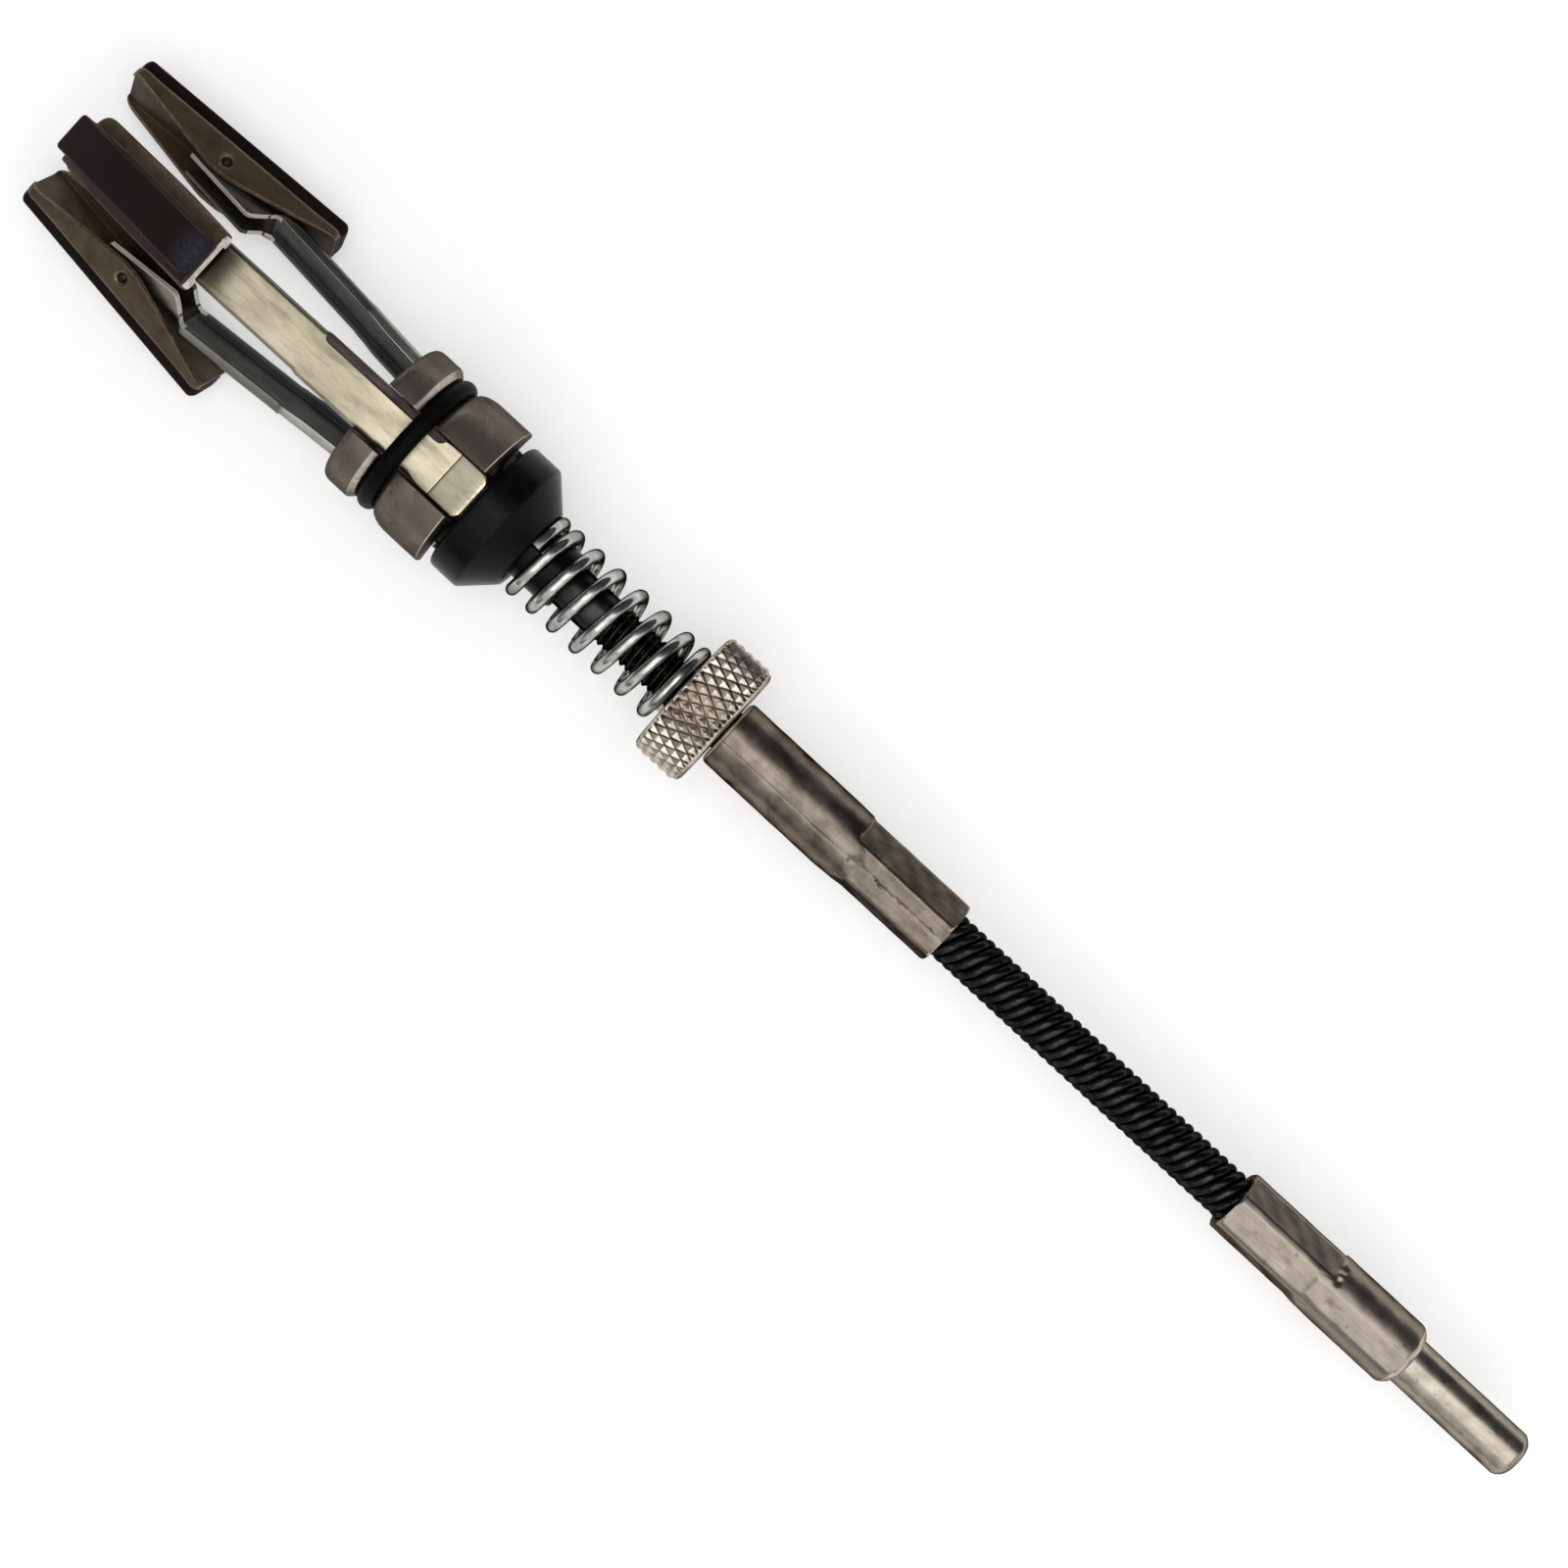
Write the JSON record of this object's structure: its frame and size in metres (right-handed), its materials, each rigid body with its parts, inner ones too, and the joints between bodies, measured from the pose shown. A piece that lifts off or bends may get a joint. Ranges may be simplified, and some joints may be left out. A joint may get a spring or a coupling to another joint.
{
  "type": "flex-shaft cylinder hone",
  "caption": "Sprung cylinder hone with pivoting abrasive stones on sheet arms, a knurled tension nut and a flexible drive shaft that ends in a plain round shank.",
  "frame": {"origin": "on the tool's axis, halfway along the plain part of the shank that a chuck grips", "axes": "+Z along the axis from the shank to the stones, -Y towards the front arm"},
  "size_m": [0.029, 0.0323, 0.2364],
  "materials": {
    "shank_steel": "satin, slightly worn",
    "ferrule_steel": "satin with pressed flats and fine scratches",
    "winding_steel": "black oxide, oiled",
    "core_steel": "dark, not seen",
    "nut_steel": "knurled, dull",
    "spring_steel": "bright plated wire",
    "black_cup": "black satin",
    "sintered_iron": "matte sintered, brown-grey",
    "ring_rubber": "matte black",
    "plated_sheet": "zinc plated, yellowed",
    "bronzed_sheet": "dull bronze",
    "abrasive_stone": "bonded abrasive grit, worn face"
  },
  "bodies": {
    "shank": {"drive_shank": "shank_steel", "lower_ferrule": "ferrule_steel", "flex_winding_lower": "winding_steel", "flex_core_lower": "core_steel"},
    "shaft_middle": {"flex_winding_middle": "winding_steel", "flex_core_middle": "core_steel"},
    "head": {"flex_winding_upper": "winding_steel", "flex_core_upper": "core_steel", "upper_ferrule": "ferrule_steel", "spindle": "shank_steel", "hub": "sintered_iron", "hub_ring": "ring_rubber"},
    "cup": {"thrust_cup": "black_cup"},
    "spring": {"coil_spring": "spring_steel"},
    "nut": {"adjusting_nut": "nut_steel"},
    "front_leg": {"arm_front": "plated_sheet"},
    "front_foot": {"shoe_front": "bronzed_sheet", "stone_front": "abrasive_stone"},
    "right_leg": {"arm_right": "plated_sheet"},
    "right_foot": {"shoe_right": "bronzed_sheet", "stone_right": "abrasive_stone"},
    "left_leg": {"arm_left": "plated_sheet"},
    "left_foot": {"shoe_left": "bronzed_sheet", "stone_left": "abrasive_stone"}
  },
  "joints": [
    {"name": "shaft_bend_x", "type": "hinge", "parent": "shank", "child": "shaft_middle", "pos_m": [0, 0, 0.04888], "axis": [1, 0, 0], "range_deg": [-20, 20], "stiffness_Nm_per_rad": 2},
    {"name": "shaft_bend_y", "type": "hinge", "parent": "shaft_middle", "child": "head", "pos_m": [0, 0, 0.07243], "axis": [0, 1, 0], "range_deg": [-20, 20], "stiffness_Nm_per_rad": 2},
    {"name": "nut_travel", "type": "slide", "parent": "head", "child": "spring", "axis": [0, 0, 1], "range_m": [0, 0.007], "deforming": ["coil_spring"]},
    {"name": "nut_turn", "type": "hinge", "parent": "spring", "child": "nut", "pos_m": [0, 0, 0.12405], "axis": [0, 0, 1], "range_deg": [0, 2780]},
    {"name": "cup_slide", "type": "slide", "parent": "head", "child": "cup", "axis": [0, 0, 1], "range_m": [-0.0001, 0.001]},
    {"name": "arm_front_swing", "type": "hinge", "parent": "head", "child": "front_leg", "pos_m": [0, -0.0056, 0.1709], "axis": [1, 0, 0], "range_deg": [-1.5, 20], "stiffness_Nm_per_rad": 0.15},
    {"name": "shoe_front_tilt", "type": "hinge", "parent": "front_leg", "child": "front_foot", "pos_m": [0, -0.0086, 0.21079], "axis": [-1, 0, 0], "range_deg": [-40, 11]},
    {"name": "arm_right_swing", "type": "hinge", "parent": "head", "child": "right_leg", "pos_m": [0.00485, 0.0028, 0.1709], "axis": [-0.5, 0.866, 0], "range_deg": [-1.5, 20]},
    {"name": "shoe_right_tilt", "type": "hinge", "parent": "right_leg", "child": "right_foot", "pos_m": [0.00745, 0.0043, 0.21079], "axis": [0.5, -0.866, 0], "range_deg": [-6, 12]},
    {"name": "arm_left_swing", "type": "hinge", "parent": "head", "child": "left_leg", "pos_m": [-0.00485, 0.0028, 0.1709], "axis": [-0.5, -0.866, 0], "range_deg": [-1.5, 20]},
    {"name": "shoe_left_tilt", "type": "hinge", "parent": "left_leg", "child": "left_foot", "pos_m": [-0.00745, 0.0043, 0.21079], "axis": [0.5, 0.866, 0], "range_deg": [-10, 12]}
  ],
  "couplings": [
    {"joint": "nut_turn", "follows": "nut_travel", "rad_per_m": 6927.4},
    {"joint": "cup_slide", "follows": "arm_front_swing", "m_per_rad": 0.0027215},
    {"joint": "arm_right_swing", "follows": "arm_front_swing", "ratio": 1},
    {"joint": "arm_left_swing", "follows": "arm_front_swing", "ratio": 1}
  ]
}
